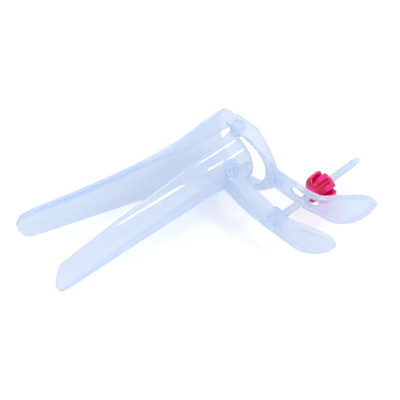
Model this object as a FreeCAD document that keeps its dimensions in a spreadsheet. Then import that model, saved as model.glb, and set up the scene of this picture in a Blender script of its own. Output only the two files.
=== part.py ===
# Bivalve speculum with a centre screw, lying on its side.
# Millimetres. The hinge axis is Z, the blades point to -X and the handles to -Y.
# The origin is on the hinge axis at the level of the table.
import FreeCAD, Part

import math
import os

import Sketcher

doc = FreeCAD.newDocument("speculum")
dims = doc.addObject("Spreadsheet::Sheet", "Dims")

# Each valve's trough is turned about an axis that leans away from the hinge's level.
# A station is its distance behind or before the hinge, how much narrower than the rim
# the trough is there, and the level of its lips.
STATION_SIZES = ("along", "step", "lip")
POSTERIOR_STATIONS = {
    "rim": (-1.8, 0, 3.4),
    "throat": (-10, 0.6, 2.6),
    "waist": (-27, 1.6, 2.0),
    "end": (-122, -0.7, 2.2),
}
ANTERIOR_STATIONS = {
    "rim": (2.9, 0, -4.0),
    "throat": (-8, 1.1, -1.9),
    "waist": (-40, 4.3, -1.8),
    "end": (-119.5, -1.9, -1.7),
}

SIZES = {
    "wall": 1.9,
    "sliding_gap": 0.3,
    "running_gap": 0.05,
    "opening_angle": 18.0,
    "posterior_rim_radius": 16.24,
    "posterior_axis_level": 1.24,
    "posterior_tilt": 6.2,
    "posterior_flare": 180.0,
    "posterior_tip_half_width": 12.2,
    "rim_inset": 0.7,
    "anterior_axis_level": -5.36,
    "anterior_tilt": 10.2,
    "anterior_flare": 166.0,
    "anterior_hollow": 490.0,
    "anterior_tip_half_width": 13.2,
    "tip_round": 9.0,
    "tip_bow": 24.0,
    # Hinge: trunnions on the posterior valve, holes in the arms of the anterior one
    "arm_half_width": 21.2,
    "arm_wall": 2.2,
    "trunnion_radius": 2.6,
    "boss_radius": 4.0,
    # Finger handles and paddles
    "handle_half_width": 6.8,
    "handle_wall": 1.7,
    "posterior_front": -21.8,
    "posterior_back_radius": 150.0,
    "posterior_lean": 2.8,
    "posterior_depth": 5.0,
    "posterior_tip_depth": 2.3,
    "posterior_bend_start": 50.0,
    "posterior_bend_radius": 35.6,
    "posterior_bend_angle": 49.5,
    "anterior_front": 0.5,
    "anterior_depth": 3.2,
    "anterior_tip_depth": 3.0,
    "anterior_bend_start": 44.0,
    "anterior_bend_radius": 32.4,
    "anterior_bend_angle": 77.0,
    "posterior_paddle_half_width": 9.4,
    "posterior_flare_start": 13.0,
    "posterior_flare_length": 11.0,
    "anterior_paddle_half_width": 10.4,
    "anterior_flare_start": 13.5,
    "anterior_flare_length": 10.0,
    "paddle_half_length": 15.0,
    "paddle_widest": 1.0,
    "paddle_tip_radius": 4.0,
    # Gusset between the posterior handle and its collar
    "gusset_back": -13.5,
    "gusset_level": 20.5,
    # Arms of the anterior valve, which ring the viewing opening
    "arm_back": 6.0,
    "arm_front": -4.0,
    "arm_top": 7.2,
    "shoulder_level": 9.0,
    "ring_end": 28.0,
    "opening_end": 22.3,
    # Socket for the screw
    "screw_level": 46.2,
    "screw_tilt": 3.1,
    "pivot_place": -18.2,
    "socket_back": -14.8,
    "socket_half_height": 4.0,
    "socket_half_width": 4.9,
    "barrel_radius": 2.5,
    "barrel_half_length": 3.8,
    "swivel_angle": 10.0,
    # Slot of the anterior handle
    "slot_half_width": 3.6,
    "slot_start": 38.5,
    "slot_end": 55.0,
    # Screw and nut
    "screw_radius": 2.1,
    "screw_reach": 62.0,
    "screw_end_radius": 1.3,
    "screw_end_length": 5.0,
    "nut_place": 23.1,
    "nut_length": 10.0,
    "nut_core_radius": 6.2,
    "nut_nose_radius": 4.3,
    "nut_nose_length": 2.3,
    "nut_radius": 8.2,
    "lobe_radius": 2.0,
    "lobe_count": 8,
    "hub_radius": 4.3,
    "hub_length": 2.5,
}


def fillSheet():
    row = 1
    tables = [("posterior", POSTERIOR_STATIONS), ("anterior", ANTERIOR_STATIONS)]
    cells = dict(SIZES)
    for valve, stations in tables:
        for station, values in stations.items():
            for size, value in zip(STATION_SIZES, values):
                cells[f"{valve}_{station}_{size}"] = value
    for alias, value in cells.items():
        dims.set(f"A{row}", alias)
        dims.set(f"B{row}", str(value))
        dims.setAlias(f"B{row}", alias)
        row += 1
    doc.recompute()


FUNCTIONS = ("sqrt", "asin", "sin", "cos", "tan")


def expr(text):
    """Write every alias in text as a reference to the sheet."""
    words = []
    for word in text.replace("(", " ( ").replace(")", " ) ").split():
        known = word not in FUNCTIONS and word[0].isalpha() and dims.getCellFromAlias(word)
        words.append(f"Dims.{word}" if known else word)
    text = " ".join(words)
    for word in FUNCTIONS:
        text = text.replace(f"{word} (", f"{word}(")
    return text


def value(text):
    return float(dims.evalExpression(expr(text)))


REACH = "4 * arm_half_width"
FLAT = FreeCAD.Rotation()
UPRIGHT = FreeCAD.Rotation(FreeCAD.Vector(1, 0, 0), 90)
ACROSS = FreeCAD.Rotation(FreeCAD.Vector(0, 1, 0), FreeCAD.Vector(0, 0, 1), FreeCAD.Vector(1, 0, 0), "ZXY")


def arcThrough(start, end, centre, bulge):
    """An arc about centre that joins start and end on the side of bulge, turning left."""
    angles = [math.atan2(point.y - centre.y, point.x - centre.x) for point in (start, end, bulge)]
    turn = 2 * math.pi
    if (angles[2] - angles[0]) % turn > (angles[1] - angles[0]) % turn:
        angles[0], angles[1] = angles[1], angles[0]
    circle = Part.Circle(centre, FreeCAD.Vector(0, 0, 1), (start - centre).Length)
    return Part.ArcOfCircle(circle, angles[0], angles[0] + (angles[1] - angles[0]) % turn)


def onPlane(body, name, role):
    """An empty sketch on one of the body's own planes."""
    sketch = body.newObject("Sketcher::SketchObject", name)
    plane = next(item for item in body.Origin.OriginFeatures if item.Role == role)
    sketch.AttachmentSupport = [(plane, "")]
    sketch.MapMode = "FlatFace"
    return sketch


def outline(name, home, corners, arcs=()):
    """A closed sketch through corners; arcs gives an edge its centre or its radius."""
    if isinstance(home, tuple):
        sketch = onPlane(home[0], name, home[1])
    else:
        sketch = doc.addObject("Sketcher::SketchObject", name)
        sketch.Placement.Rotation = home
    arcs = dict(arcs)
    points = [FreeCAD.Vector(value(across), value(up), 0) for across, up in corners]
    count = len(points)
    starts = []
    for i, start in enumerate(points):
        end = points[(i + 1) % count]
        if i not in arcs:
            sketch.addGeometry(Part.LineSegment(start, end), False)
            starts.append(1)
            continue
        kind, text, side = arcs[i]
        chord = end - start
        middle = (start + end) * 0.5
        normal = FreeCAD.Vector(chord.y, -chord.x, 0).normalize() * side
        if kind == "centre":
            centre = FreeCAD.Vector(value(text), middle.y, 0)
        else:
            centre = middle - normal * math.sqrt(value(text) ** 2 - (chord.Length / 2) ** 2)
        arc = arcThrough(start, end, centre, centre + normal * (start - centre).Length)
        sketch.addGeometry(arc, False)
        starts.append(1 if arc.StartPoint.isEqual(start, 1e-6) else 2)
    for i in range(count):
        follower = (i + 1) % count
        sketch.addConstraint(
            Sketcher.Constraint("Coincident", i, 3 - starts[i], follower, starts[follower])
        )
    for i, (across, up) in enumerate(corners):
        for kind, text in (("DistanceX", across), ("DistanceY", up)):
            constraint = Sketcher.Constraint(kind, -1, 1, i, starts[i], value(text))
            index = sketch.addConstraint(constraint)
            sketch.setExpression(f"Constraints[{index}]", expr(text))
    for i, (kind, text, side) in arcs.items():
        if kind == "centre":
            constraint = Sketcher.Constraint("DistanceX", -1, 1, i, 3, value(text))
        else:
            constraint = Sketcher.Constraint("Radius", i, value(text))
        index = sketch.addConstraint(constraint)
        sketch.setExpression(f"Constraints[{index}]", expr(text))
    return sketch


def bind(thing, **texts):
    for path, text in texts.items():
        thing.setExpression(path.replace("__", "."), expr(text))
    return thing


def extrude(name, sketch, length):
    solid = doc.addObject("Part::Extrusion", name)
    solid.Base = sketch
    solid.DirMode = "Normal"
    solid.Solid = True
    solid.Symmetric = True
    return bind(solid, LengthFwd=length)


def boolean(kind, name, base, *tools):
    if kind == "Cut":
        result = doc.addObject("Part::Cut", name)
        result.Base = base
        result.Tool = tools[0] if len(tools) == 1 else boolean("MultiFuse", name + "Tools", *tools)
    else:
        result = doc.addObject(f"Part::{kind}", name)
        result.Shapes = [base, *tools]
    return result


def cylinder(name, radius, height, level, across="0", up="0"):
    rod = doc.addObject("Part::Cylinder", name)
    return bind(rod, Radius=radius, Height=height, Placement__Base__z=level,
                Placement__Base__x=across, Placement__Base__y=up)


RIM_RADIUS = {"posterior": "posterior_rim_radius", "anterior": "( arm_half_width - rim_inset )"}


def turnedTrough(valve, inset, side):
    """The solid that a valve's trough fills when it is turned about its leaning axis."""
    rim = RIM_RADIUS[valve]
    lean = f"cos( {valve}_tilt )"
    overrun = f"{rim} * tan( {valve}_tilt ) + wall"
    profile = [(overrun, "0"), (overrun, f"{rim} - {inset}")]
    for station in ("rim", "throat", "waist", "end"):
        along = f"( {valve}_{station}_along - {valve}_rim_along ) / {lean}"
        profile.append((along, f"{rim} - {valve}_{station}_step - {inset}"))
    profile.append((profile[-1][0], "0"))
    name = f"{valve}{'Inside' if inset == 'wall' else 'Outside'}"
    arcs = {3: ("radius", f"{valve}_flare", -1)}
    if f"{valve}_hollow" in SIZES:
        arcs[4] = ("radius", f"{valve}_hollow", -1)
    sketch = outline(name + "Sketch", FLAT, profile, arcs)
    solid = doc.addObject("Part::Revolution", name)
    solid.Source = sketch
    solid.Axis = FreeCAD.Vector(1, 0, 0)
    solid.Solid = True
    solid.Placement.Rotation = FreeCAD.Rotation(FreeCAD.Vector(0, 0, 1), -side * 10)
    solid.setExpression("Placement.Rotation.Angle", expr(f"0 deg - {side} * {valve}_tilt * 1 deg"))
    return place(solid, x=f"{valve}_rim_along", y=f"{side} * {valve}_axis_level")


def place(thing, **texts):
    """Bind the position of a solid to the sheet, one expression an axis."""
    for axis, text in texts.items():
        thing.setExpression(f"Placement.Base.{axis}", expr(text))
    return thing


def handleFront(name, valve, inset, top):
    """The solid behind a handle's front view: straight sides, a flare and a round paddle."""
    side = f"handle_half_width - {inset}"
    wide = f"( {valve}_paddle_half_width - {inset} )"
    tip = f"( paddle_tip_radius - {inset} )"
    tipPlace = "( paddle_half_length - paddle_tip_radius )"
    rise = f"( {valve}_paddle_half_width - handle_half_width )"
    flare = f"( {valve}_flare_length ^ 2 + {rise} ^ 2 ) / ( 4 * {rise} )"
    # the paddle's side is an arc that runs into its round tip
    reach = f"( {tipPlace} - paddle_widest )"
    turn = f"( ( {reach} ^ 2 + {wide} ^ 2 - {tip} ^ 2 ) / ( 2 * ( {wide} - {tip} ) ) )"
    meeting = f"{turn} / ( {turn} - {tip} )"
    right = [
        (top, side),
        (f"{valve}_flare_start", side),
        (f"{valve}_flare_start - {valve}_flare_length / 2", f"{side} + {rise} / 2"),
        (f"{valve}_flare_start - {valve}_flare_length", wide),
        ("0 - paddle_widest", wide),
        (f"0 - paddle_widest - {meeting} * {reach}", f"{wide} - {turn} + {meeting} * ( {turn} - {wide} )"),
    ]
    left = [(across, f"0 - ( {up} )") for across, up in reversed(right)]
    arcs = {
        1: ("radius", flare, -1),
        2: ("radius", flare, 1),
        4: ("radius", turn, 1),
        5: ("centre", f"0 - {tipPlace}", 1),
        6: ("radius", turn, 1),
        8: ("radius", flare, 1),
        9: ("radius", flare, -1),
    }
    solid = extrude(name, outline(name + "Sketch", ACROSS, right + left, arcs), REACH)
    solid.Placement.Rotation = FreeCAD.Rotation(FreeCAD.Vector(0, 0, 1), 30)
    lean = f"{valve}_bend_angle * 1 deg - asin( paddle_half_length / {valve}_bend_radius )"
    solid.setExpression("Placement.Rotation.Angle", expr(lean))
    return place(solid, x=f"{valve}_front + {valve}_bend_radius", y=f"0 - {valve}_bend_start")


def handleSide(name, valve, inset, upper, margin="0", back=None):
    """The solid beside a handle's side view: straight, then bent away over the paddle."""
    front, depth, tip, start, radius, angle = (
        f"{valve}_{word}"
        for word in ("front", "depth", "tip_depth", "bend_start", "bend_radius", "bend_angle")
    )
    outer = f"( {radius} - {inset} )"
    inner = f"( {radius} - {tip} - {margin} )"
    heart = f"{front} + {radius}"
    across = f"( {radius} - {depth} - {margin} - {inner} * cos( {angle} ) )"
    turn = f"( {across} ^ 2 + ( {inner} * sin( {angle} ) ) ^ 2 ) / ( 2 * {across} )"
    corners = [
        (f"{front} + {inset}", f"0 - {start}"),
        (f"{heart} - {outer} * cos( {angle} )", f"0 - {start} - {outer} * sin( {angle} )"),
        (f"{heart} - {inner} * cos( {angle} )", f"0 - {start} - {inner} * sin( {angle} )"),
        (f"{front} + {depth} + {margin}", f"0 - {start}"),
    ]
    arcs = {0: ("radius", outer, 1), 2: ("radius", turn, -1)}
    if back:
        arcs[len(corners + upper) - 1] = ("radius", back, 1)
    return extrude(name, outline(name + "Sketch", FLAT, corners + upper, arcs), REACH)


fillSheet()
mirror = FreeCAD.Rotation(FreeCAD.Vector(1, 0, 0), 180)
sides = {"Upper": 1, "Lower": -1}


def blade(valve, stations, facing):
    """A trough with a rounded tip, and the space inside it."""
    outside, inside = (turnedTrough(valve, inset, facing) for inset in ("0", "wall"))
    end = f"{valve}_end"
    lips = [(f"{valve}_{station}_along", f"{facing} * {valve}_{station}_lip") for station in stations]
    below = f"0 - {facing} * {REACH}"
    past = f"{end}_along - tip_round"
    lips += [(past, f"{facing} * {end}_lip"), (past, below), (f"{valve}_rim_along", below)]
    lipLimit = extrude(f"{valve}LipLimit", outline(f"{valve}LipSketch", FLAT, lips), REACH)
    half = f"{valve}_tip_half_width"
    side = [(f"0 - {end}_along", REACH), (f"{end}_along + tip_round", REACH),
            (f"{end}_along + tip_round", half), (f"{end}_along", f"{half} - tip_round")]
    other = [(across, f"0 - ( {up} )") for across, up in reversed(side)]
    arcs = {2: ("radius", "tip_round", 1), 3: ("radius", "tip_bow", 1), 4: ("radius", "tip_round", 1)}
    tipLimit = extrude(f"{valve}TipLimit", outline(f"{valve}TipSketch", UPRIGHT, side + other, arcs),
                       REACH)
    return boolean("MultiCommon", f"{valve}Blade", outside, lipLimit, tipLimit), inside


def posteriorValve():
    shell, inside = blade("posterior", POSTERIOR_STATIONS, 1)
    rise = "tan( posterior_tilt ) * ( posterior_rim_along - posterior_front )"
    upper = [
        ("gusset_back", "0 - gusset_level"),
        ("posterior_rim_along", "posterior_axis_level - posterior_rim_radius + 0.9 * wall"),
        ("posterior_front + posterior_lean", f"posterior_axis_level + {rise} - posterior_rim_radius"
                                             " + posterior_waist_step + wall"),
    ]
    side = handleSide("PosteriorSide", "posterior", "0", upper, back="posterior_back_radius")
    front = handleFront("PosteriorFront", "posterior", "0", REACH)
    handle = boolean("MultiCommon", "PosteriorHandle", side, front)
    upperPocket = [
        ("gusset_back + wall", "0 - gusset_level"),
        ("posterior_rim_along", "0 - gusset_level"),
        ("posterior_rim_along", "0 - wall"),
        ("posterior_front + posterior_lean + handle_wall", "0 - wall"),
    ]
    pocketSide = handleSide("PosteriorPocketSide", "posterior", "handle_wall", upperPocket,
                            "handle_wall", "posterior_back_radius")
    pocketFront = handleFront("PosteriorPocketFront", "posterior", "handle_wall", REACH)
    pocket = boolean("MultiCommon", "PosteriorPocketRaw", pocketSide, pocketFront)
    block = doc.addObject("Part::Box", "SocketBlock")
    bind(block, Length="socket_back - posterior_front - handle_wall / 2",
         Width="2 * socket_half_height", Height="2 * socket_half_width")
    place(block, x="posterior_front + handle_wall / 2", y="0 - screw_level - socket_half_height",
          z="0 - socket_half_width")
    pocket = boolean("Cut", "PosteriorPocket", pocket, doc.getObject("posteriorBlade"), block)
    body = boolean("MultiFuse", "PosteriorBody", shell, handle, block)
    bore = cylinder("SocketBore", "barrel_radius + running_gap",
                    "2 * ( barrel_half_length + running_gap )", "0")
    place(bore, x="pivot_place", y="0 - screw_level", z="0 - barrel_half_length - running_gap")
    half = "( screw_radius + sliding_gap )"
    reach = "1.3 * ( socket_back - pivot_place )"
    low = f"tan( swivel_angle + screw_tilt ) * {reach}"
    high = f"tan( swivel_angle - screw_tilt ) * {reach}"
    mouth = extrude("SocketMouth", outline("SocketMouthSketch", FLAT, [
        ("pivot_place", f"0 - screw_level - {half}"),
        (f"pivot_place + {reach}", f"0 - screw_level - {half} - {low}"),
        (f"pivot_place + {reach}", f"0 - screw_level + {half} + {high}"),
        ("pivot_place", f"0 - screw_level + {half}"),
    ]), f"2 * {half}")
    body = boolean("Cut", "PosteriorShell", body, inside, pocket, bore, mouth)
    pins = []
    ear = "posterior_rim_radius"
    for sideName, sign in sides.items():
        root = f"{ear} - wall / 2"
        boss = cylinder(f"Boss{sideName}", "boss_radius",
                        f"arm_half_width - arm_wall - sliding_gap - ( {root} )", "0")
        pin = cylinder(f"Trunnion{sideName}", "trunnion_radius", f"arm_half_width - ( {root} )", "0")
        for rod in (boss, pin):
            if sign > 0:
                place(rod, z=root)
            else:
                rod.Placement.Rotation = mirror
                place(rod, z=f"0 - ( {root} )")
            pins.append(rod)
    return boolean("MultiFuse", "posterior_valve", body, *pins)


def openingCut(valve):
    """The space that the arms ring: straight sides above a round end."""
    half = "( arm_half_width - arm_wall )"
    centre = f"{half} - opening_end"
    shape = outline(f"{valve}OpeningSketch", ACROSS, [
        ("2 * arm_top", f"0 - {half}"), (centre, f"0 - {half}"), (centre, half), ("2 * arm_top", half),
    ], {1: ("centre", centre, -1)})
    return extrude(f"{valve}Opening", shape, REACH)


def anteriorValve():
    shell, inside = blade("anterior", ANTERIOR_STATIONS, -1)
    shell.Placement.Rotation = FreeCAD.Rotation(FreeCAD.Vector(0, 0, 1), -10)
    shell.setExpression("Placement.Rotation.Angle", expr("0 deg - opening_angle * 1 deg"))
    inside.setExpression("Placement.Rotation.Angle", expr("( anterior_tilt - opening_angle ) * 1 deg"))
    sine, cosine = "sin( opening_angle )", "cos( opening_angle )"
    place(inside, x=f"anterior_rim_along * {cosine} - anterior_axis_level * {sine}",
          y=f"0 - anterior_rim_along * {sine} - anterior_axis_level * {cosine}")
    thin = "anterior_front + 0.6 * anterior_depth"
    ringSide = extrude("RingSide", outline("RingSideSketch", FLAT, [
        ("arm_front", "arm_top"),
        ("arm_front + 0.15 * arm_back", "0 - shoulder_level"),
        ("anterior_front", "0 - ring_end"),
        (thin, "0 - ring_end"),
        ("arm_back", "0 - shoulder_level"),
        ("arm_back", "arm_top"),
    ]), REACH)
    ringFront = extrude("RingFront", outline("RingFrontSketch", ACROSS, [
        ("arm_top", "0 - arm_half_width"),
        ("0 - shoulder_level", "0 - arm_half_width"),
        ("0 - ring_end", "0 - handle_half_width"),
        ("0 - ring_end", "handle_half_width"),
        ("0 - shoulder_level", "arm_half_width"),
        ("arm_top", "arm_half_width"),
    ], {1: ("radius", "1.5 * ring_end", -1), 3: ("radius", "1.5 * ring_end", -1)}), REACH)
    ring = boolean("MultiCommon", "RingSolid", ringSide, ringFront)
    ring = boolean("Cut", "Ring", ring, openingCut("anterior"))
    upper = [(thin, "0 - opening_end - wall"), ("anterior_front", "0 - opening_end - wall")]
    handle = boolean("MultiCommon", "AnteriorHandle",
                     handleSide("AnteriorSide", "anterior", "0", upper),
                     handleFront("AnteriorFront", "anterior", "0", REACH))
    upperPocket = [(f"{thin} - handle_wall", "0 - ring_end - wall"),
                   ("anterior_front - handle_wall", "0 - ring_end - wall")]
    pocket = boolean("MultiCommon", "AnteriorPocket",
                     handleSide("AnteriorPocketSide", "anterior", "( 0 - handle_wall )",
                                upperPocket, "( 0 - handle_wall )"),
                     handleFront("AnteriorPocketFront", "anterior", "handle_wall", REACH))
    slot = extrude("Slot", outline("SlotSketch", ACROSS, [
        ("0 - slot_start", "0 - slot_half_width"), ("0 - slot_end", "0 - slot_half_width"),
        ("0 - slot_end", "slot_half_width"), ("0 - slot_start", "slot_half_width"),
    ], {1: ("centre", "0 - slot_end", -1), 3: ("centre", "0 - slot_start", -1)}), REACH)
    hole = cylinder("HingeHole", "trunnion_radius + running_gap", REACH, "0")
    place(hole, z=f"0 - {REACH} / 2")
    bossRoom = cylinder("BossRoom", "boss_radius + sliding_gap",
                        "2 * ( arm_half_width - arm_wall )", "arm_wall - arm_half_width")
    body = boolean("MultiFuse", "AnteriorBody", shell, ring, handle)
    return boolean("Cut", "anterior_valve", body, inside, pocket, slot, hole, bossRoom)


def onScrew(item, along):
    """Turn an item's Z axis onto the screw's axis, along from its pivot."""
    item.setExpression("Placement.Rotation.Yaw", expr("0 deg - screw_tilt * 1 deg"))
    item.setExpression("Placement.Rotation.Pitch", "90 deg")
    item.setExpression("Placement.Rotation.Roll", "0 deg")
    return place(item, x=f"pivot_place + ( {along} ) * cos( screw_tilt )",
                 y=f"0 - screw_level - ( {along} ) * sin( screw_tilt )")


def screw():
    barrel = cylinder("Barrel", "barrel_radius", "2 * barrel_half_length", "0")
    place(barrel, x="pivot_place", y="0 - screw_level", z="0 - barrel_half_length")
    rod = cylinder("Rod", "screw_radius", "screw_reach - screw_end_length", "0")
    end = doc.addObject("Part::Cone", "RodEnd")
    bind(end, Radius1="screw_radius", Radius2="screw_end_radius", Height="screw_end_length")
    onScrew(rod, "0")
    onScrew(end, "screw_reach - screw_end_length")
    return boolean("MultiFuse", "screw", barrel, rod, end)


def nut():
    body = doc.addObject("PartDesign::Body", "nut")
    face = "nut_nose_length / 100"
    end = "nut_nose_length + nut_length"
    widest = "nut_nose_length + 0.62 * nut_length"
    core = outline("NutCoreSketch", (body, "XZ_Plane"), [
        ("screw_radius + running_gap", face),
        ("nut_nose_radius", face),
        ("nut_nose_radius", "nut_nose_length"),
        ("nut_core_radius", "1.5 * nut_nose_length"),
        ("nut_core_radius", end),
        ("hub_radius", end),
        ("hub_radius", f"{end} + hub_length"),
        ("screw_radius + running_gap", f"{end} + hub_length"),
    ])
    turned = body.newObject("PartDesign::Revolution", "NutCore")
    turned.Profile = core
    turned.ReferenceAxis = (core, ["V_Axis"])
    turned.Angle = 360
    doc.recompute()
    lobe = onPlane(body, "LobeSketch", "XY_Plane")
    radius, middle = value("lobe_radius"), value("nut_radius - lobe_radius")
    circle = Part.Circle(FreeCAD.Vector(middle, 0, 0), FreeCAD.Vector(0, 0, 1), radius)
    lobe.addGeometry(circle, False)
    lobe.addConstraint(Sketcher.Constraint("Radius", 0, radius))
    lobe.addConstraint(Sketcher.Constraint("DistanceX", -1, 1, 0, 3, middle))
    lobe.addConstraint(Sketcher.Constraint("PointOnObject", 0, 3, -1))
    lobe.setExpression("Constraints[0]", expr("lobe_radius"))
    lobe.setExpression("Constraints[1]", expr("nut_radius - lobe_radius"))
    pad = body.newObject("PartDesign::Pad", "Lobe")
    pad.Profile = lobe
    bind(pad, Length=end)
    doc.recompute()
    pattern = body.newObject("PartDesign::PolarPattern", "Lobes")
    pattern.Originals = [pad]
    pattern.Axis = (lobe, ["N_Axis"])
    pattern.Angle = 360
    bind(pattern, Occurrences="lobe_count")
    body.Tip = pattern
    doc.recompute()
    taper = outline("NutTaperSketch", (body, "XZ_Plane"), [
        ("nut_nose_radius", "0 - nut_nose_length"),
        ("nut_nose_radius", "nut_nose_length"),
        ("nut_radius + 0.1", widest),
        ("2 * nut_radius", widest),
        ("2 * nut_radius", "0 - nut_nose_length"),
    ], {1: ("radius", "nut_length", 1)})
    groove = body.newObject("PartDesign::Groove", "NutTaper")
    groove.Profile = taper
    groove.ReferenceAxis = (taper, ["V_Axis"])
    groove.Angle = 360
    body.Tip = groove
    doc.recompute()
    return onScrew(body, "nut_place")


nodes = {"posterior_valve": posteriorValve(), "anterior_valve": anteriorValve(), "screw": screw(),
         "nut": nut()}
for node, solid in nodes.items():
    solid.Label = node
    place(solid, z="arm_half_width")
doc.recompute()
for item in doc.Objects:
    if "Invalid" in item.State or "Error" in item.State:
        raise SystemExit(f"{item.Name} failed: {item.getStatusString()}")
os.makedirs("parts", exist_ok=True)
for node, solid in nodes.items():
    shape = solid.Shape
    if shape.isNull() or not shape.isValid():
        raise SystemExit(f"{node} has no valid shape")
    print(node, len(shape.Solids), round(shape.Volume, 1), shape.optimalBoundingBox())
    shape.exportStep(f"parts/{node}.step")
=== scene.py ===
import math
import bmesh
import bpy
import numpy as np
from mathutils import Matrix, Vector


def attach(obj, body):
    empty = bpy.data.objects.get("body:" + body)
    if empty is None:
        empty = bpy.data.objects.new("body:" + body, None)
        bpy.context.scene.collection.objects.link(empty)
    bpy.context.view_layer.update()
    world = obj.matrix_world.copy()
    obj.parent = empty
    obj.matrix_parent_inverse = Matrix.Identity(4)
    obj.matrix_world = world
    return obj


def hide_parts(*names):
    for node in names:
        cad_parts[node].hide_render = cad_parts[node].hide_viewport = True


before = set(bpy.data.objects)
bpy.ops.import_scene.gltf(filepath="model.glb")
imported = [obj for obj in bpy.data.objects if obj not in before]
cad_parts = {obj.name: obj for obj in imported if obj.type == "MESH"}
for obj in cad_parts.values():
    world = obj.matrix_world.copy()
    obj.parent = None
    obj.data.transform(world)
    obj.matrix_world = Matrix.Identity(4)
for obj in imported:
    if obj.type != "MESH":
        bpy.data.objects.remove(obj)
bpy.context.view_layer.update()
mm = 0.001
midLevel = 21.2  # height of the speculum's mid-plane over the table, in mm


def splineThrough(places, values):
    # natural cubic spline through a few stations
    places, values = np.array(places, float), np.array(values, float)
    count = len(places)
    steps = np.diff(places)
    matrix = np.eye(count)
    right = np.zeros(count)
    for i in range(1, count - 1):
        matrix[i, i - 1:i + 2] = steps[i - 1], 2 * (steps[i - 1] + steps[i]), steps[i]
        right[i] = 6 * ((values[i + 1] - values[i]) / steps[i] - (values[i] - values[i - 1]) / steps[i - 1])
    bend = np.linalg.solve(matrix, right)

    def at(x):
        x = np.asarray(x, float)
        i = np.clip(np.searchsorted(places, x) - 1, 0, count - 2)
        a, b, step = x - places[i], places[i + 1] - x, steps[i]
        return ((bend[i] * b ** 3 + bend[i + 1] * a ** 3) / (6 * step)
                + (values[i] / step - bend[i] * step / 6) * b
                + (values[i + 1] / step - bend[i + 1] * step / 6) * a)

    return at


def makeMesh(name, points, faces):
    mesh = bpy.data.meshes.new(name)
    points = np.array(points, float).reshape(-1, 3)
    mesh.from_pydata((points * mm + np.array([0, 0, midLevel * mm])).tolist(), [], faces)
    mesh.validate()
    tidy = bmesh.new()
    tidy.from_mesh(mesh)
    bmesh.ops.remove_doubles(tidy, verts=tidy.verts, dist=1e-6)
    bmesh.ops.recalc_face_normals(tidy, faces=tidy.faces)
    tidy.to_mesh(mesh)
    tidy.free()
    piece = bpy.data.objects.new(name, mesh)
    bpy.context.scene.collection.objects.link(piece)
    return piece


def gridFaces(rows, columns, start=0, flip=False):
    faces = []
    for i in range(rows - 1):
        for j in range(columns - 1):
            a = start + i * columns + j
            face = (a, a + 1, a + columns + 1, a + columns)
            faces.append(face[::-1] if flip else face)
    return faces


def gridEdge(rows, columns):
    # indices round the border of a grid
    loop = [(0, j) for j in range(columns)]
    loop += [(i, columns - 1) for i in range(1, rows)]
    loop += [(rows - 1, j) for j in range(columns - 2, -1, -1)]
    loop += [(i, 0) for i in range(rows - 2, 0, -1)]
    return loop


def joinLoops(loops):
    # bands of faces between loops of equal length
    faces = []
    for first, second in zip(loops[:-1], loops[1:]):
        count = len(first)
        for k in range(count):
            faces.append((first[k], first[(k + 1) % count], second[(k + 1) % count], second[k]))
    return faces


def thickSheet(name, middle, thickness, rounding=5):
    # a sheet with a rounded edge, from the grid of its middle surface
    rows, columns = middle.shape[:2]
    along = np.gradient(middle, axis=0)
    across = np.gradient(middle, axis=1)
    normals = np.cross(along, across)
    normals /= np.linalg.norm(normals, axis=2, keepdims=True)
    half = thickness / 2
    edge = gridEdge(rows, columns)
    border = np.array([middle[i, j] for i, j in edge])
    borderNormals = np.array([normals[i, j] for i, j in edge])
    tangent = np.roll(border, -1, axis=0) - np.roll(border, 1, axis=0)
    outward = np.cross(tangent, borderNormals)
    outward /= np.linalg.norm(outward, axis=1, keepdims=True)
    if np.sum(outward * (border - middle.mean(axis=(0, 1)))) < 0:
        outward = -outward
    points = [(middle + normals * half).reshape(-1, 3), (middle - normals * half).reshape(-1, 3)]
    size = rows * columns
    loops = [[i * columns + j for i, j in edge]]
    start = 2 * size
    for k in range(1, rounding):
        angle = math.pi * k / rounding
        ring = border + half * (math.cos(angle) * borderNormals + math.sin(angle) * outward)
        points.append(ring)
        loops.append(list(range(start, start + len(edge))))
        start += len(edge)
    loops.append([size + i * columns + j for i, j in edge])
    faces = gridFaces(rows, columns) + gridFaces(rows, columns, size, True) + joinLoops(loops)
    return makeMesh(name, np.concatenate(points), faces)


def smoothStep(share):
    share = np.clip(share, 0, 1)
    return share * share * (3 - 2 * share)


def onCircle(middle, side, other, radius, angle):
    return middle + radius * (math.cos(angle) * side + math.sin(angle) * other)


def turned(points, degrees):
    c, s = math.cos(math.radians(degrees)), math.sin(math.radians(degrees))
    points = np.array(points, float)
    out = points.copy()
    out[..., 0] = c * points[..., 0] - s * points[..., 1]
    out[..., 1] = s * points[..., 0] + c * points[..., 1]
    return out


# stations of a blade: along, half width, lip, depth
posteriorBlade = {
    "stations": [
        (-121.6, 12.0, 2.2, 4.8), (-88, 13.2, 2.1, 7.3), (-58, 14.0, 2.05, 9.8), (-40, 14.35, 2.0, 11.5),
        (-27, 14.5, 2.0, 12.8), (-18, 14.95, 2.3, 14.5), (-10, 15.6, 2.6, 16.3), (-1.8, 16.15, 3.4, 18.5),
    ],
    "wall": 1.9, "tipLength": 12.5, "tipFullness": 2.2, "tipEnd": 0.6, "spoon": 1.0,
    "facing": 1, "turn": 0.0,
}
anteriorBlade = {
    "stations": [
        (-121.8, 12.7, -1.7, 3.9), (-86, 13.4, -1.74, 5.8), (-58, 14.75, -1.8, 9.2), (-40, 15.7, -1.8, 12.3),
        (-24, 16.95, -1.85, 16.3), (-8, 19.35, -1.9, 21.6), (2.9, 20.45, -4.0, 22.2),
    ],
    "wall": 1.9, "tipLength": 12.5, "tipFullness": 2.2, "tipEnd": 0.6, "spoon": 1.5,
    "facing": -1, "turn": -18.0,
}


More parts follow.
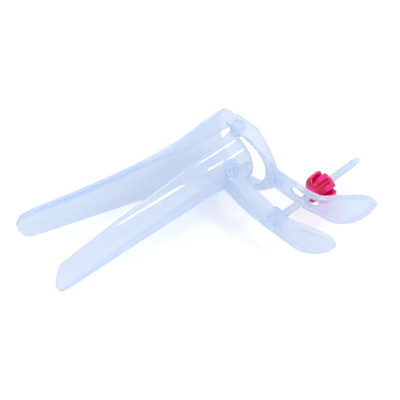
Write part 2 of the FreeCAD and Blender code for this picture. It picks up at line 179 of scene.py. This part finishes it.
def bladeMesh(name, values, rows=150, columns=65):
    stations = np.array(values["stations"])
    width, lip, depth = (splineThrough(stations[:, 0], stations[:, k]) for k in (1, 2, 3))
    half = values["wall"] / 2
    low, high = stations[0, 0] + half, stations[-1, 0] - half
    t = np.linspace(0, 1, rows)
    # rows lie closer together toward the tip
    xs = low + (high - low) * (t ** 2 * 0.7 + t * 0.3) ** 1.15
    grid = np.zeros((rows, columns, 3))
    spread = np.linspace(-1, 1, columns)
    for i, x in enumerate(xs):
        nearTip = max(0.0, 1 - (x - low) / values["tipLength"])
        w, level = float(width(x)), float(lip(x))
        d = float(depth(x)) - values["spoon"] * nearTip ** 2
        radius = (w * w + d * d) / (2 * d)
        centre = level - d + radius
        limit = math.acos(max(-1, min(1, (centre - level + half) / (radius - half))))
        if nearTip > 0:
            reach = max(values["tipEnd"], (w - half) * (1 - nearTip ** values["tipFullness"]) ** 0.5)
            limit = min(limit, math.asin(min(1, reach / (radius - half))))
        angles = spread * limit
        grid[i, :, 0] = x
        grid[i, :, 1] = values["facing"] * (centre - (radius - half) * np.cos(angles))
        grid[i, :, 2] = (radius - half) * np.sin(angles)
    return thickSheet(name, turned(grid, values["turn"]), values["wall"])


# handles: front is where the face on the blades' side lies, widths are half widths at places down the handle
posteriorHandle = {
    "front": -21.8, "bendStart": 50.0, "bendRadius": 35.6, "bendAngle": 49.5, "top": 8.7,
    "wall": 1.7, "rim": 1.7, "rimBlend": 0.9, "lean": 2.8, "bulge": 1.5, "open": "back",
    "depths": [(8.7, 2.0), (13.3, 17.2), (20.5, 6.9), (50, 5.0), (80.8, 2.3)],
    "widths": [(8.7, 6.8), (44, 6.7), (50, 6.75), (54, 7.0), (57, 7.5), (60.5, 8.7), (65, 9.4), (69, 9.0),
               (73, 7.9), (76.5, 6.2), (79, 4.2), (80.4, 2.0)],
}
anteriorHandle = {
    "front": 0.5, "bendStart": 44.0, "bendRadius": 32.4, "bendAngle": 77.0, "top": 24.2,
    "wall": 1.7, "rim": 1.7, "rimBlend": 0.9, "lean": 0.0, "bulge": 0.0, "open": "front",
    "depths": [(24.2, 1.92), (44, 3.2), (87.5, 3.0)],
    "widths": [(24.2, 6.8), (40, 6.4), (50, 6.3), (56, 6.7), (60, 8.2), (64, 10.0), (69, 10.7), (73.5, 10.7),
               (78, 9.6), (82, 7.6), (85, 5.0), (87, 2.0)],
}


def handlePoint(values, down, across, offset):
    # the point that lies down the handle from the hinge, across it, and offset from the front to the back
    straight = values["bendStart"]
    if down <= straight:
        share = (straight - down) / (straight - values["top"])
        front = values["front"] + values["lean"] * share - 4 * values["bulge"] * share * (1 - share)
        return (front + offset, -down, across)
    angle = (down - straight) / values["bendRadius"]
    reach = values["bendRadius"] - offset
    heart = values["front"] + values["bendRadius"]
    return (heart - reach * math.cos(angle), -straight - reach * math.sin(angle), across)


def paddleOutline(values, end):
    # half width against the length down the handle, closed by a round tip
    places = np.array(values["widths"])
    widthAt = splineThrough(places[:, 0], places[:, 1])
    lengths = np.linspace(values["top"], places[-1, 0], 400)
    tipLengths = np.linspace(places[-1, 0], end, 30)
    tipWidths = np.sqrt(np.linspace(places[-1, 1], 0, 30) * places[-1, 1])
    return np.concatenate([np.stack([lengths, widthAt(lengths)], 1), np.stack([tipLengths, tipWidths], 1)])


def handleMesh(name, values, rows=170, columns=49, edge=0.55, least=0.8):
    # a hollowed strip that follows the handle's bend, with a raised rim and softened edges
    end = values["bendStart"] + values["bendRadius"] * math.radians(values["bendAngle"])
    outline = paddleOutline(values, end)
    tapering = values["widths"][-4][0]
    downs = values["top"] + (end - edge - values["top"]) * (1 - (1 - np.linspace(0, 1, rows)) ** 1.5)
    spread = np.linspace(-1, 1, columns)
    spread = np.sign(spread) * (1 - (1 - np.abs(spread)) ** 1.35)
    inset = edge * np.maximum(0, (downs - tapering) / (end - tapering))
    widths = np.maximum(np.interp(downs + inset, outline[:, 0], outline[:, 1]) - edge, least)
    down = np.repeat(downs[:, None], columns, axis=1)
    across = widths[:, None] * spread
    fromEdge = np.zeros((rows, columns))
    for i in range(rows):
        apart = np.hypot(down[i][:, None] - outline[:, 0], np.abs(across[i])[:, None] - outline[:, 1])
        fromEdge[i] = apart.min(axis=1)
    hollow = smoothStep((fromEdge - values["rim"]) / values["rimBlend"])
    depths = np.array(values["depths"])
    full = np.interp(down, depths[:, 0], depths[:, 1])
    if values["open"] == "back":
        front, back = np.zeros_like(full), full - hollow * (full - values["wall"])
    else:
        front, back = hollow * (full - values["wall"]), full
    border = gridEdge(rows, columns)
    borderDown = np.array([down[i, j] for i, j in border])
    borderAcross = np.array([across[i, j] for i, j in border])
    tangent = np.stack([np.roll(side, -1) - np.roll(side, 1) for side in (borderDown, borderAcross)], 1)
    outward = np.stack([tangent[:, 1], -tangent[:, 0]], 1)
    outward /= np.linalg.norm(outward, axis=1, keepdims=True)
    if np.sum(outward[:, 0] * (borderDown - borderDown.mean()) + outward[:, 1] * borderAcross) < 0:
        outward = -outward
    size = rows * columns
    points = []
    for face in (front, back):
        for i, j in np.ndindex(rows, columns):
            points.append(handlePoint(values, down[i, j], across[i, j], face[i, j]))
    loops = [[i * columns + j for i, j in border]]
    for face, sign, angles in ((front, 1, (30, 60, 90)), (back, -1, (90, 60, 30))):
        for degrees in angles:
            out = edge * math.sin(math.radians(degrees))
            rise = sign * edge * (1 - math.cos(math.radians(degrees)))
            loops.append(list(range(len(points), len(points) + len(border))))
            for k, (i, j) in enumerate(border):
                points.append(handlePoint(values, borderDown[k] + outward[k, 0] * out,
                                          borderAcross[k] + outward[k, 1] * out, face[i, j] + rise))
    loops.append([size + i * columns + j for i, j in border])
    faces = gridFaces(rows, columns) + gridFaces(rows, columns, size, True) + joinLoops(loops)
    return makeMesh(name, points, faces)


# the arms that ring the viewing opening
ring = {
    "half": 21.2, "wall": 2.6, "armTop": 7.2, "armFront": -4.0, "armBack": 6.0, "topRound": 3.2,
    "shoulder": 9.0, "end": 28.0, "openingEnd": 21.6, "sideRadius": 42.0, "edge": 0.75,
    "frontStep": 0.9, "endFront": 0.5, "endBack": 2.42, "endHalf": 6.8,
}


def roundedSection(corners, radius, steps=4):
    points = []
    for k, corner in enumerate(corners):
        before = corners[k - 1] - corner
        after = corners[(k + 1) % len(corners)] - corner
        r = min(radius, 0.45 * np.linalg.norm(before), 0.45 * np.linalg.norm(after))
        before, after = before / np.linalg.norm(before), after / np.linalg.norm(after)
        for a in np.linspace(0, math.pi / 2, steps):
            points.append(corner + r * ((1 - math.sin(a)) * before + (1 - math.cos(a)) * after))
    return points


def sweepMesh(name, sections):
    count = len(sections[0])
    points = [point for section in sections for point in section]
    loops = [list(range(i * count, (i + 1) * count)) for i in range(len(sections))]
    return makeMesh(name, points, joinLoops(loops) + [tuple(loops[0][::-1]), tuple(loops[-1])])


def ringMesh(name, values, count=120):
    inner = values["half"] - values["wall"]
    heart = inner - values["openingEnd"]
    start = np.array([-values["shoulder"], values["half"]])
    stop = np.array([-values["end"], values["endHalf"]])
    chord = stop - start
    normal = np.array([chord[1], -chord[0]]) / np.linalg.norm(chord)
    if normal[1] < 0:
        normal = -normal
    toCentre = math.sqrt(values["sideRadius"] ** 2 - (np.linalg.norm(chord) / 2) ** 2)
    centre = (start + stop) / 2 - normal * toCentre
    arc = [start + chord * t for t in np.linspace(0, 1, 40)]
    arc = [centre + (p - centre) / np.linalg.norm(p - centre) * values["sideRadius"] for p in arc]
    outline = [np.array([values["armTop"], values["half"]])] + arc + [np.array([-values["end"], 0.0])]

    def outer(angle):
        # where a ray from the middle of the opening leaves the outline
        ray = np.array([-math.sin(angle), math.cos(angle)])
        for a, b in zip(outline[:-1], outline[1:]):
            matrix = np.array([ray, a - b]).T
            if abs(np.linalg.det(matrix)) < 1e-9:
                continue
            reach, t = np.linalg.solve(matrix, a - np.array([heart, 0]))
            if reach > 0 and -1e-9 <= t <= 1 + 1e-9:
                return np.array([heart, 0]) + ray * reach

    def section(innerPoint, outerPoint, side):
        corners = []
        for (y, z), back in ((innerPoint, 0), (innerPoint, 1), (outerPoint, 1), (outerPoint, 0)):
            share = max(0.0, min(1.0, (-y - values["shoulder"]) / (values["end"] - values["shoulder"])))
            if back:
                x = values["armBack"] + share * (values["endBack"] - values["armBack"])
            else:
                front = values["armFront"] + values["frontStep"]
                x = front + share * (values["endFront"] - front)
            over = y - (values["armTop"] - values["topRound"])
            if over > 0:
                inward = values["topRound"] - math.sqrt(max(0, values["topRound"] ** 2 - over ** 2))
                x += -inward if back else inward
            corners.append(np.array([x, y, z * side]))
        return roundedSection(corners, values["edge"])

    halfSections = []
    for y in np.linspace(values["armTop"], heart, 22)[:-1]:
        halfSections.append(((y, inner), (y, values["half"])))
    for angle in np.linspace(0, math.pi / 2, count // 2):
        innerPoint = (heart - inner * math.sin(angle), inner * math.cos(angle))
        halfSections.append((innerPoint, tuple(outer(angle))))
    sections = [section(a, b, 1) for a, b in halfSections]
    sections += [section(a, b, -1) for a, b in halfSections[-2::-1]]
    return sweepMesh(name, sections)


def latheMesh(name, profile, origin, axis, segments=64):
    # profile: (distance along the axis, radius); closed on the axis where the radius is 0
    axis = np.array(axis, float) / np.linalg.norm(axis)
    side = np.cross(axis, [0, 0, 1.0]) if abs(axis[2]) < 0.9 else np.array([1.0, 0, 0])
    side /= np.linalg.norm(side)
    other = np.cross(axis, side)
    origin = np.array(origin, float)
    sections = []
    for along, radius in profile:
        angles = np.linspace(0, 2 * math.pi, segments, endpoint=False)
        middle = origin + axis * along
        sections.append([onCircle(middle, side, other, max(radius, 1e-3), angle) for angle in angles])
    return sweepMesh(name, sections)


def roundedBlock(name, low, high, radius=0.6):
    low, high = np.array(low, float), np.array(high, float)
    mesh = bpy.data.meshes.new(name)
    block = bmesh.new()
    bmesh.ops.create_cube(block, size=1)
    middle, size = (low + high) / 2, high - low
    for vertex in block.verts:
        vertex.co = Vector((middle + np.array(vertex.co) * size) * mm) + Vector((0, 0, midLevel * mm))
    bmesh.ops.bevel(block, geom=block.edges[:], offset=radius * mm, segments=3, profile=0.5, affect="EDGES")
    block.to_mesh(mesh)
    block.free()
    piece = bpy.data.objects.new(name, mesh)
    bpy.context.scene.collection.objects.link(piece)
    return piece


def combine(base, steps):
    # exact booleans, applied at once
    for operation, tool in steps:
        change = base.modifiers.new(operation.lower(), "BOOLEAN")
        change.operation, change.solver, change.object = operation, "EXACT", tool
        bpy.context.view_layer.update()
        evaluated = base.evaluated_get(bpy.context.evaluated_depsgraph_get())
        mesh = bpy.data.meshes.new_from_object(evaluated)
        base.modifiers.clear()
        base.data = mesh
        bpy.data.objects.remove(tool)
    return base


def smoothShade(piece, angle=38):
    for polygon in piece.data.polygons:
        polygon.use_smooth = True
    piece.data.set_sharp_from_angle(angle=math.radians(angle))


beyond = 30  # further than any wall, so that a cutting tool runs through
hinge = {"boss": 4.0, "pin": 2.6, "gap": 0.05, "ear": 15.2, "bossEnd": 18.7, "bossRoom": 4.3, "roomEnd": 19.0}
socket = {
    "back": -14.8, "level": 46.2, "halfHeight": 4.0, "halfWidth": 4.9, "inset": 0.9, "pivot": -18.2,
    "barrel": 2.5, "barrelHalf": 3.8, "gap": 0.05, "tilt": 3.1,
    "mouth": 2.4, "swingDown": 0.8, "swingUp": 0.3, "cutPast": 1,
}
slot = {"start": 41.0, "end": 51.5, "half": 3.2, "front": -12, "back": beyond}


def roundEnds(start, end, radius, soft=0.35):
    # lathe profile of a rod with softened ends
    profile = [(start, 0), (start, radius - soft)]
    for a in (0.5, 1.05, 1.57):
        profile.append((start + soft * (1 - math.cos(a)), radius - soft * (1 - math.sin(a))))
    profile += [(end - (p - start), r) for p, r in profile[::-1]]
    return profile


def plainRod(half, radius):
    return [(-half, 0), (-half, radius), (half, radius), (half, 0)]


def socketBlock():
    level, tall, wide = -socket["level"], socket["halfHeight"], socket["halfWidth"]
    low = (posteriorHandle["front"] + socket["inset"], level - tall, -wide)
    high = (socket["back"], level + tall, wide)
    return roundedBlock("socketBlock", low, high)


def socketMouth():
    # the way in through which the screw's barrel snaps and the screw swings
    level, mouth = -socket["level"], socket["mouth"]
    low = (socket["pivot"], level - mouth - socket["swingDown"], -mouth)
    high = (socket["back"] + socket["cutPast"], level + mouth + socket["swingUp"], mouth)
    return roundedBlock("mouth", low, high, radius=0.05)


def slotTool():
    outline = []
    for level, side in ((slot["start"], -1), (slot["end"], 1)):
        for angle in np.linspace(0, math.pi, 24):
            reach = side * slot["half"]
            outline.append((-level - reach * math.sin(angle), -reach * math.cos(angle)))
    sections = [[np.array([x, y, z]) for y, z in outline] for x in (slot["front"], slot["back"])]
    return sweepMesh("slot", sections)


pivot = (socket["pivot"], -socket["level"], 0)
posterior = bladeMesh("posteriorValve", posteriorBlade)
posteriorSteps = [("UNION", handleMesh("nearHandle", posteriorHandle)), ("UNION", socketBlock())]
for sign in (1, -1):
    for name, start, end, radius in (("boss", hinge["ear"], hinge["bossEnd"], hinge["boss"]),
                                     ("trunnion", hinge["ear"] + 1, ring["half"], hinge["pin"])):
        rod = latheMesh(name, roundEnds(start, end, radius), (0, 0, 0), (0, 0, sign))
        posteriorSteps.append(("UNION", rod))
boreHalf, boreRadius = socket["barrelHalf"] + socket["gap"], socket["barrel"] + socket["gap"]
bore = latheMesh("bore", roundEnds(-boreHalf, boreHalf, boreRadius, soft=0.01), pivot, (0, 0, 1))
posteriorSteps += [("DIFFERENCE", bore), ("DIFFERENCE", socketMouth())]
combine(posterior, posteriorSteps)
smoothShade(posterior)
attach(posterior, "posterior")
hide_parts("posterior_valve")
print("posterior valve", len(posterior.data.polygons), "faces")

bossRoom = latheMesh("bossRoom", plainRod(hinge["roomEnd"], hinge["bossRoom"]), (0, 0, 0), (0, 0, 1))
hingeHole = latheMesh("hole", plainRod(beyond, hinge["pin"] + hinge["gap"]), (0, 0, 0), (0, 0, 1))
anterior = bladeMesh("anteriorValve", anteriorBlade)
combine(anterior, [("UNION", ringMesh("ring", ring)), ("UNION", handleMesh("farHandle", anteriorHandle)),
                   ("DIFFERENCE", slotTool()), ("DIFFERENCE", bossRoom), ("DIFFERENCE", hingeHole)])
smoothShade(anterior)
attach(anterior, "anterior")
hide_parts("anterior_valve")
print("anterior valve", len(anterior.data.polygons), "faces")


screwThread = {
    "pitch": 1.3, "depth": 0.42, "radius": 2.1, "length": 62.0, "tipRadius": 1.2, "taper": 5.0,
    "cap": 1.0, "start": 2.0, "perTurn": 40, "perPitch": 8,
}
tilt = math.radians(socket["tilt"])
screwAxis = (math.cos(tilt), -math.sin(tilt), 0)


def threadMesh(name, values):
    rows = int(values["length"] / values["pitch"] * values["perPitch"])
    axis = np.array(screwAxis)
    side = np.array([0, 0, 1.0])
    other = np.cross(axis, side)
    origin = np.array(pivot)
    sections = []
    for i in range(rows + 1):
        along = values["length"] * i / rows
        left = values["length"] - along
        radius = values["radius"]
        if left < values["taper"]:
            radius -= (1 - left / values["taper"]) * (values["radius"] - values["tipRadius"])
        if left < values["cap"]:
            radius *= math.sqrt(max(0.01, 1 - (1 - left / values["cap"]) ** 2))
        fade = min(1, max(0, along - values["start"])) * min(1, left / values["taper"])
        section = []
        for k in range(values["perTurn"]):
            angle = 2 * math.pi * k / values["perTurn"]
            phase = (along / values["pitch"] - k / values["perTurn"]) % 1
            groove = 0.5 - 0.5 * math.cos(2 * math.pi * phase)
            r = radius - values["depth"] * fade * groove ** 1.3
            section.append(onCircle(origin + axis * along, side, other, r, angle))
        sections.append(section)
    return sweepMesh(name, sections)


screw = threadMesh("threadedScrew", screwThread)
barrelProfile = roundEnds(-socket["barrelHalf"], socket["barrelHalf"], socket["barrel"])
barrel = latheMesh("barrel", barrelProfile, pivot, (0, 0, 1), 48)
combine(screw, [("UNION", barrel)])
smoothShade(screw, 50)
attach(screw, "screw")
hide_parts("screw")
print("screw", len(screw.data.polygons), "faces")

nutSizes = {
    "place": 23.1, "nose": 2.3, "noseRadius": 4.3, "length": 10.0, "core": 5.4, "grooveTop": 7.3,
    "radius": 8.2, "ribs": 8, "ribShare": 0.1, "ribEdge": 0.28, "hubRadius": 4.3, "hubLength": 2.5,
    "bore": 2.15, "widest": 6.2, "soft": 0.3, "segments": 288,
}


def nutMesh(name, values):
    axis = np.array(screwAxis)
    side = np.array([0, 0, 1.0])
    other = np.cross(axis, side)
    origin = np.array(pivot) + axis * values["place"]
    nose, hub, bore = values["noseRadius"], values["hubRadius"], values["bore"]
    end = values["nose"] + values["length"]
    last = end + values["hubLength"]
    soft = values["soft"]
    angles = np.linspace(0, 2 * math.pi, values["segments"], endpoint=False)
    # stations: along, radius, and whether the ribs stand out there; small steps soften the corners
    stations = [(0.0, nose - soft, False), (soft, nose, False), (values["nose"] - 0.2, nose, False)]
    for t in np.linspace(0, 1, 14):
        dome = nose + (values["radius"] - nose) * math.sin(t * math.pi / 2) ** 0.8
        stations.append((values["nose"] + t * values["widest"], dome, True))
    for along in np.linspace(values["nose"] + values["widest"] + 0.6, end - 0.5, 5):
        stations.append((along, values["radius"], True))
    stations += [(end - 0.2, values["radius"] - 0.12, True), (end, values["radius"] - 0.45, True)]
    stations += [(end, hub + 0.25, False), (end + 0.2, hub, False), (last - soft, hub, False),
                 (last, hub - soft, False), (last, bore + soft, False), (last - soft, bore, False),
                 (soft, bore, False), (0.0, bore + soft, False)]
    points = []
    for along, full, ribbed in stations:
        core = min(values["core"], full) if ribbed else full
        for angle in angles:
            wave = math.cos(values["ribs"] * angle)
            rib = smoothStep((wave + values["ribShare"]) / values["ribEdge"] / 2 + 0.5)
            points.append(onCircle(origin + axis * along, side, other, core + (full - core) * rib, angle))
    count = values["segments"]
    loops = [list(range(i * count, (i + 1) * count)) for i in range(len(stations))]
    return makeMesh(name, points, joinLoops(loops + [loops[0]]))


nut = nutMesh("thumbNut", nutSizes)
smoothShade(nut, 45)
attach(nut, "nut")
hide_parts("nut")
print("nut", len(nut.data.polygons), "faces")

# painted light: the glow makes the clear plastic shine evenly in its own colour though it is no lamp,
# standing in for light passing through it and flattening its shade
clearPlastic = {"colour": (0.57, 0.635, 0.735, 1), "edge": (0.20, 0.38, 0.88, 1), "transmission": 0.62,
                "roughness": 0.04, "ior": 1.42, "glow": 0.21}
nutPlastic = {"colour": (0.92, 0.0, 0.26, 1), "edge": (0.60, 0.0, 0.10, 1), "transmission": 0.1,
              "roughness": 0.07, "ior": 1.5, "glow": 0.0}
# painted shade: a darker red copy of the nut's plastic, for the grooves between its ribs
nutGrooveShade = dict(nutPlastic, colour=(0.70, 0.0, 0.06, 1), edge=(0.45, 0.0, 0.03, 1))
# places of moulded texture and of painted shade in its hollows, as middle and radius in mm
pebbledPlaces = {"posterior": [((-17, -46, 21.2), 8), ((0, 0, 38), 5), ((0, 0, 4), 5), ((-16, -12, 30), 6)],
                 "anterior": [((1, 1, 38), 6), ((1, 1, 4), 6), ((2, -27, 21.2), 7)]}
# moulded pebbles: their bumps, and painted shade (the tint) in the hollows between them
pebbleTexture = {
    "size": 1.1, "top": 0.2, "foot": 0.7, "valleyStart": 0.5, "valleyEnd": 0.8,
    "tint": (0.24, 0.42, 0.90, 1), "share": 0.6,
}
dotTexture = {"place": ((-18.3, -65.5, 21.2), 9), "pitch": 2.0, "top": 0.12, "foot": 0.26, "height": 0.5}
# painted reflection of the pink nut in the clear plastic round it
paintedNutReflection = {"place": ((5, -58, 21.2), 13), "soft": 0.8, "share": 0.55, "tint": (0.62, 0.48, 0.70, 1)}


def edgeGroup():
    # a piece's colour, which turns to its edge colour where the surface is seen edge on
    group = bpy.data.node_groups.new("edgeColour", "ShaderNodeTree")
    group.interface.new_socket("Facing", in_out="INPUT", socket_type="NodeSocketFloat")
    for name in ("Colour", "Edge"):
        group.interface.new_socket(name, in_out="INPUT", socket_type="NodeSocketColor")
    group.interface.new_socket("Result", in_out="OUTPUT", socket_type="NodeSocketColor")
    nodes, links = group.nodes, group.links
    given, result = nodes.new("NodeGroupInput"), nodes.new("NodeGroupOutput")
    share = nodes.new("ShaderNodeMapRange")
    share.inputs["From Min"].default_value = 0.5
    mix = nodes.new("ShaderNodeMix")
    mix.data_type = "RGBA"
    links.new(given.outputs["Facing"], share.inputs["Value"])
    links.new(share.outputs["Result"], mix.inputs[0])
    links.new(given.outputs["Colour"], mix.inputs[6])
    links.new(given.outputs["Edge"], mix.inputs[7])
    links.new(mix.outputs[2], result.inputs["Result"])
    return group


edgeColour = edgeGroup()


class Paint:
    # a plastic material while it is put together

    def __init__(self, name, values):
        self.material = bpy.data.materials.new(name)
        self.material.use_nodes = True
        self.nodes, self.links = self.material.node_tree.nodes, self.material.node_tree.links
        self.shader = self.nodes["Principled BSDF"]
        for label, key in (("Transmission Weight", "transmission"), ("Roughness", "roughness"),
                           ("IOR", "ior"), ("Emission Strength", "glow")):
            self.shader.inputs[label].default_value = values[key]
        self.place = self.nodes.new("ShaderNodeTexCoord").outputs["Object"]
        self.facing = self.nodes.new("ShaderNodeLayerWeight").outputs["Facing"]
        self.edge = self.nodes.new("ShaderNodeGroup")
        self.edge.node_tree = edgeColour
        self.links.new(self.facing, self.edge.inputs["Facing"])
        self.edge.inputs["Colour"].default_value = values["colour"]
        self.edge.inputs["Edge"].default_value = values["edge"]
        self.colour = self.edge.outputs["Result"]
        self.height = None

    def number(self, operation, first, second):
        node = self.nodes.new("ShaderNodeMath")
        node.operation = operation
        for k, value in enumerate((first, second)):
            if isinstance(value, (int, float)):
                node.inputs[k].default_value = value
            else:
                self.links.new(value, node.inputs[k])
        return node.outputs[0]

    def ramp(self, value, low, high, atLow=0.0, atHigh=1.0):
        node = self.nodes.new("ShaderNodeMapRange")
        for label, limit in (("From Min", low), ("From Max", high), ("To Min", atLow), ("To Max", atHigh)):
            node.inputs[label].default_value = limit
        self.links.new(value, node.inputs["Value"])
        return node.outputs["Result"]

    def around(self, middle, radius, soft=0.3):
        # 1 within the radius of a place, fading to 0 beyond it
        node = self.nodes.new("ShaderNodeVectorMath")
        node.operation = "DISTANCE"
        self.links.new(self.place, node.inputs[0])
        node.inputs[1].default_value = [v * mm for v in middle]
        return self.ramp(node.outputs["Value"], radius * mm * (1 - soft), radius * mm, 1.0, 0.0)

    def cells(self, size):
        # distance from the middle of the nearest of many uneven cells
        node = self.nodes.new("ShaderNodeTexVoronoi")
        node.inputs["Scale"].default_value = 1 / (size * mm)
        self.links.new(self.place, node.inputs["Vector"])
        return node.outputs["Distance"]

    def dotGrid(self, pitch):
        # distance from the nearest dot of a square grid on the paddle's face
        split = self.nodes.new("ShaderNodeSeparateXYZ")
        join = self.nodes.new("ShaderNodeCombineXYZ")
        node = self.nodes.new("ShaderNodeTexVoronoi")
        node.voronoi_dimensions = "2D"
        node.inputs["Scale"].default_value = 1 / (pitch * mm)
        node.inputs["Randomness"].default_value = 0
        self.links.new(self.place, split.inputs[0])
        self.links.new(split.outputs["Y"], join.inputs["X"])
        self.links.new(split.outputs["Z"], join.inputs["Y"])
        self.links.new(join.outputs[0], node.inputs["Vector"])
        return node.outputs["Distance"]

    def tint(self, mask, colour):
        node = self.nodes.new("ShaderNodeMix")
        node.data_type = "RGBA"
        self.links.new(mask, node.inputs[0])
        self.links.new(self.colour, node.inputs[6])
        node.inputs[7].default_value = colour
        self.colour = node.outputs[2]

    def raised(self, height):
        self.height = height if self.height is None else self.number("ADD", self.height, height)

    def finished(self, depth=0.35):
        # painted glow: the colour also goes to the emission, so the plastic lights itself
        for label in ("Base Color", "Emission Color"):
            self.links.new(self.colour, self.shader.inputs[label])
        if self.height is not None:
            bump = self.nodes.new("ShaderNodeBump")
            bump.inputs["Distance"].default_value = depth * mm
            self.links.new(self.height, bump.inputs["Height"])
            self.links.new(bump.outputs["Normal"], self.shader.inputs["Normal"])
        return self.material


def valvePaint(name, places):
    paint = Paint(name, clearPlastic)
    mask = None
    for middle, radius in places:
        zone = paint.around(middle, radius)
        mask = zone if mask is None else paint.number("MAXIMUM", mask, zone)
    texture = pebbleTexture
    pebbles = paint.cells(texture["size"])
    height = paint.ramp(pebbles, texture["top"], texture["foot"], 1.0, 0.0)
    # painted shade: the hollows between the pebbles take a deeper blue
    paintedValleyShade = paint.ramp(pebbles, texture["valleyStart"], texture["valleyEnd"], 0.0, texture["share"])
    paint.raised(paint.number("MULTIPLY", height, mask))
    paint.tint(paint.number("MULTIPLY", paintedValleyShade, mask), texture["tint"])
    return paint


def dress(piece, *materials):
    piece.data.materials.clear()
    for material in materials:
        piece.data.materials.append(material)


nearPaint = valvePaint("nearValvePlastic", pebbledPlaces["posterior"])
dotDistance = nearPaint.dotGrid(dotTexture["pitch"])
dots = nearPaint.ramp(dotDistance, dotTexture["top"], dotTexture["foot"], dotTexture["height"], 0.0)
nearPaint.raised(nearPaint.number("MULTIPLY", dots, nearPaint.around(*dotTexture["place"])))
dress(posterior, nearPaint.finished())
farPaint = valvePaint("farValvePlastic", pebbledPlaces["anterior"])
# painted reflection: the far valve turns lavender round the nut
nutReflectionZone = farPaint.around(*paintedNutReflection["place"], paintedNutReflection["soft"])
farPaint.tint(farPaint.number("MULTIPLY", nutReflectionZone, paintedNutReflection["share"]), paintedNutReflection["tint"])
dress(anterior, farPaint.finished())
dress(screw, Paint("screwPlastic", dict(clearPlastic, transmission=0.45)).finished())
dress(nut, Paint("nutPlastic", nutPlastic).finished(), Paint("nutGroovePaintedShade", nutGrooveShade).finished())
for polygon in nut.data.polygons:
    # painted shade: the grooves between the ribs take the darker red copy of the nut's plastic
    offset = polygon.center / mm - Vector(pivot) - Vector((0, 0, midLevel))
    along = offset.dot(Vector(screwAxis))
    radius = (offset - Vector(screwAxis) * along).length
    fromNose = along - nutSizes["place"] - nutSizes["nose"]
    ribbed = 0 < fromNose < nutSizes["length"] - 0.05
    if ribbed and nutSizes["core"] - 0.3 < radius < nutSizes["grooveTop"]:
        polygon.material_index = 1
print("plastics applied")

# floor, lamps and camera
stageValues = {"floor": (0.90, 0.90, 0.90, 1), "lift": 0.22, "world": 0.95, "half": 3.0, "level": -0.0004}


def floorPaint(values):
    # matte white, lifted to pure white where it is seen, so that only the shadow shows
    material = bpy.data.materials.new("floorPaint")
    material.use_nodes = True
    nodes, links = material.node_tree.nodes, material.node_tree.links
    nodes.clear()
    result = nodes.new("ShaderNodeOutputMaterial")
    matte = nodes.new("ShaderNodeBsdfDiffuse")
    glow = nodes.new("ShaderNodeEmission")
    both = nodes.new("ShaderNodeAddShader")
    path = nodes.new("ShaderNodeLightPath")
    seen = path.outputs["Is Camera Ray"]
    for kind in ("Is Transmission Ray", "Is Glossy Ray"):
        either = nodes.new("ShaderNodeMath")
        either.operation = "MAXIMUM"
        links.new(seen, either.inputs[0])
        links.new(path.outputs[kind], either.inputs[1])
        seen = either.outputs[0]
    strength = nodes.new("ShaderNodeMath")
    strength.operation = "MULTIPLY"
    strength.inputs[1].default_value = values["lift"]
    matte.inputs["Color"].default_value = values["floor"]
    links.new(seen, strength.inputs[0])
    links.new(strength.outputs[0], glow.inputs["Strength"])
    links.new(matte.outputs[0], both.inputs[0])
    links.new(glow.outputs[0], both.inputs[1])
    links.new(both.outputs[0], result.inputs["Surface"])
    return material


floorMesh = bpy.data.meshes.new("floor")
half = stageValues["half"]
corners = [(-half, -half, 0), (half, -half, 0), (half, half, 0), (-half, half, 0)]
floorMesh.from_pydata(corners, [], [(0, 1, 2, 3)])
floorMesh.materials.append(floorPaint(stageValues))
floor = bpy.data.objects.new("floor", floorMesh)
bpy.context.scene.collection.objects.link(floor)
floor.location.z = stageValues["level"]

world = bpy.data.worlds.new("studio")
bpy.context.scene.world = world
world.use_nodes = True
world.node_tree.nodes["Background"].inputs["Color"].default_value = (1, 1, 1, 1)
world.node_tree.nodes["Background"].inputs["Strength"].default_value = stageValues["world"]


def lamp(name, place, aim, width, height, power):
    data = bpy.data.lights.new(name, "AREA")
    data.shape = "RECTANGLE"
    data.size, data.size_y, data.energy = width, height, power
    light = bpy.data.objects.new(name, data)
    bpy.context.scene.collection.objects.link(light)
    light.location = place
    light.rotation_mode = "QUATERNION"
    light.rotation_quaternion = (Vector(aim) - Vector(place)).to_track_quat("-Z", "Y")


# small bright windows: direction from the speculum, distance in m, width and height in m, power in W
windows = {
    "sideWindow": ((0.25, -0.72, 0.65), 0.9, 0.10, 0.07, 0.75),
    "topWindow": ((0.32, -0.08, 0.94), 0.9, 0.05, 0.12, 0.45),
    "endWindow": ((0.76, -0.23, 0.61), 0.9, 0.07, 0.07, 0.40),
    "leftWindow": ((-0.62, 0.45, 0.64), 0.9, 0.06, 0.12, 0.35),
}
heart = Vector((-0.03, -0.01, midLevel * mm))
for name, (direction, reach, width, height, power) in windows.items():
    lamp(name, heart + Vector(direction) * reach, heart, width, height, power)

cameraValues = {
    "place": (-0.1950, -0.1728, 0.3112), "look": (0.4289, 0.4417, -0.7880), "lens": 64.58, "film": 36,
}
cameraData = bpy.data.cameras.new("photoCamera")
cameraData.lens, cameraData.sensor_width = cameraValues["lens"], cameraValues["film"]
camera = bpy.data.objects.new("photoCamera", cameraData)
bpy.context.scene.collection.objects.link(camera)
camera.location = cameraValues["place"]
camera.rotation_mode = "QUATERNION"
camera.rotation_quaternion = Vector(cameraValues["look"]).to_track_quat("-Z", "Y")
cameraData.clip_start = 0.01
bpy.context.scene.camera = camera
bpy.context.scene.view_settings.view_transform = "Standard"
print("stage, lamps and camera set")
